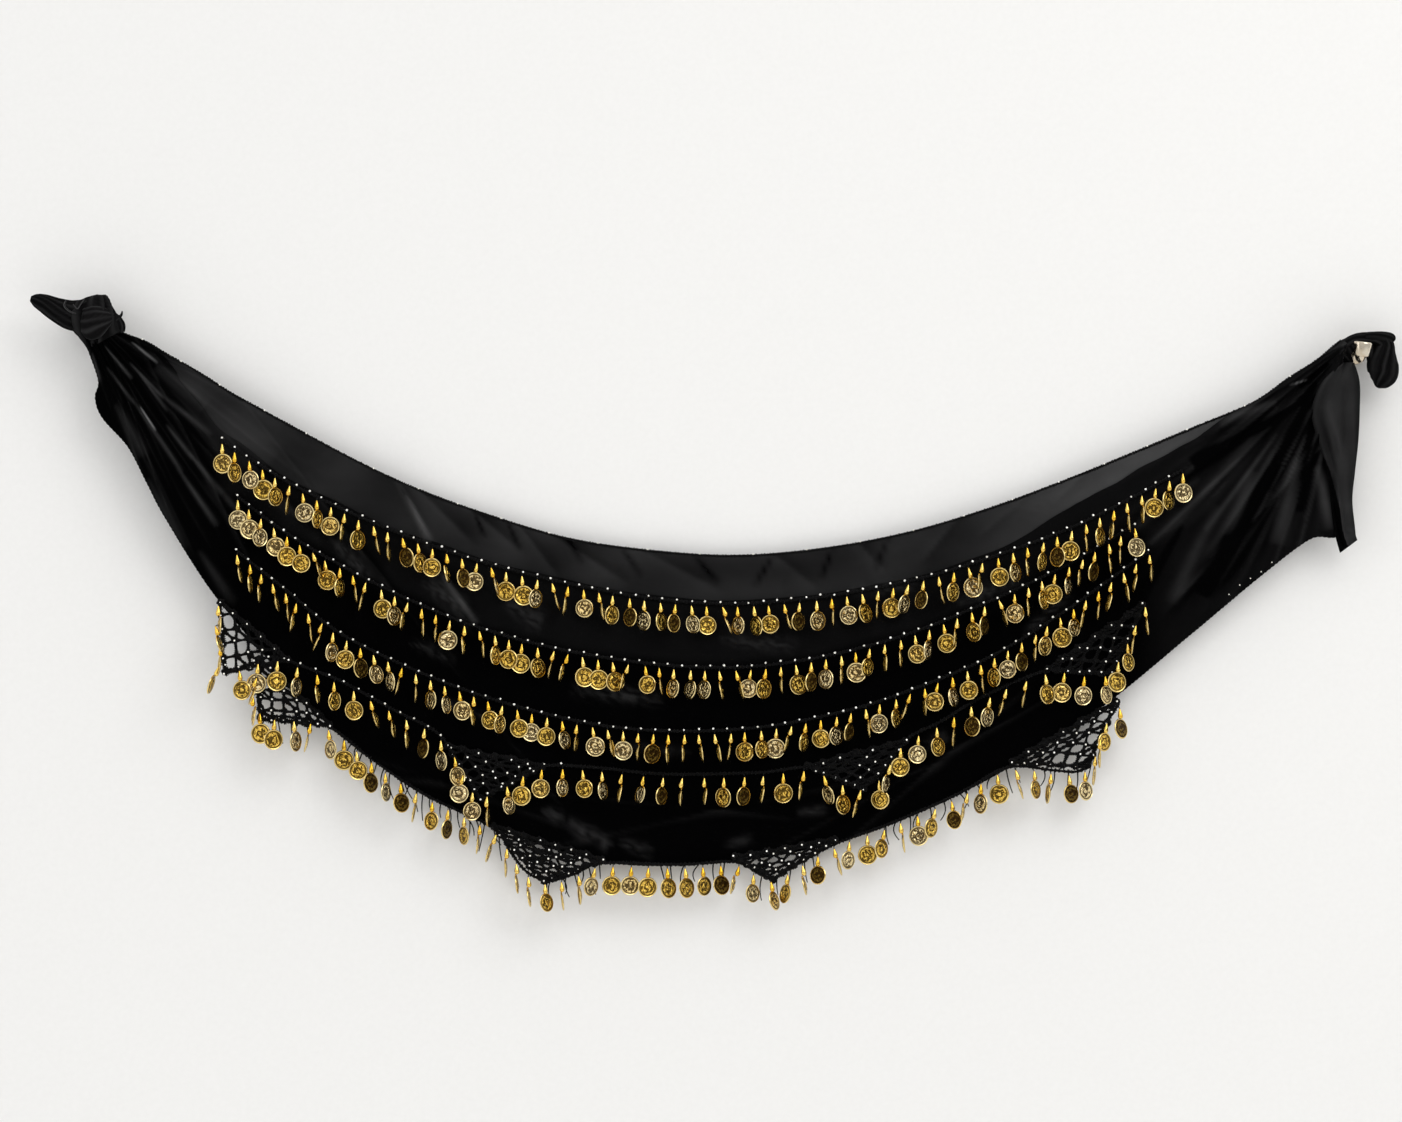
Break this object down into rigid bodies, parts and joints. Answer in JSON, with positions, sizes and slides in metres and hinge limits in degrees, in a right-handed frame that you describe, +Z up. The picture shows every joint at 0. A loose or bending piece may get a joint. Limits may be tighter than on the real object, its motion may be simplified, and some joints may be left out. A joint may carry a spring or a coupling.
{
  "type": "coin hip scarf hung on two wall hooks",
  "caption": "Long sheer black hip scarf with rows of hanging gold coins and crocheted net triangles, slung like a garland between two small wall hooks.",
  "frame": {"origin": "centre of the right wall hook's back plate, on the wall", "axes": "+X along the wall from the left hook to the right one, +Y into the wall, +Z up"},
  "size_m": [1.0244, 0.0464, 0.4623],
  "materials": {
    "sheer_black_cloth": "sheer crinkled chiffon with a soft sheen",
    "black_crochet": "matt twisted thread",
    "gold_coins": "bright stamped gilt, slightly worn",
    "champagne_metal": "satin champagne plating"
  },
  "bodies": {
    "root": {"scarf_panel": "sheer_black_cloth", "top_edging": "black_crochet", "coins_row_1": "gold_coins", "coins_row_2": "gold_coins", "coins_row_3": "gold_coins", "coins_row_4": "gold_coins", "coins_hem": "gold_coins", "net_row4_1": "black_crochet", "net_row4_2": "black_crochet", "net_row4_3": "black_crochet", "net_row4_4": "black_crochet", "net_hem_1": "black_crochet", "net_hem_2": "black_crochet", "net_hem_3": "black_crochet", "net_hem_4": "black_crochet", "left_knot": "sheer_black_cloth", "left_tail": "sheer_black_cloth", "left_knot_loop": "sheer_black_cloth", "right_tail": "sheer_black_cloth", "right_flap": "sheer_black_cloth", "left_hook": "champagne_metal", "right_hook": "champagne_metal"}
  },
  "joints": []
}
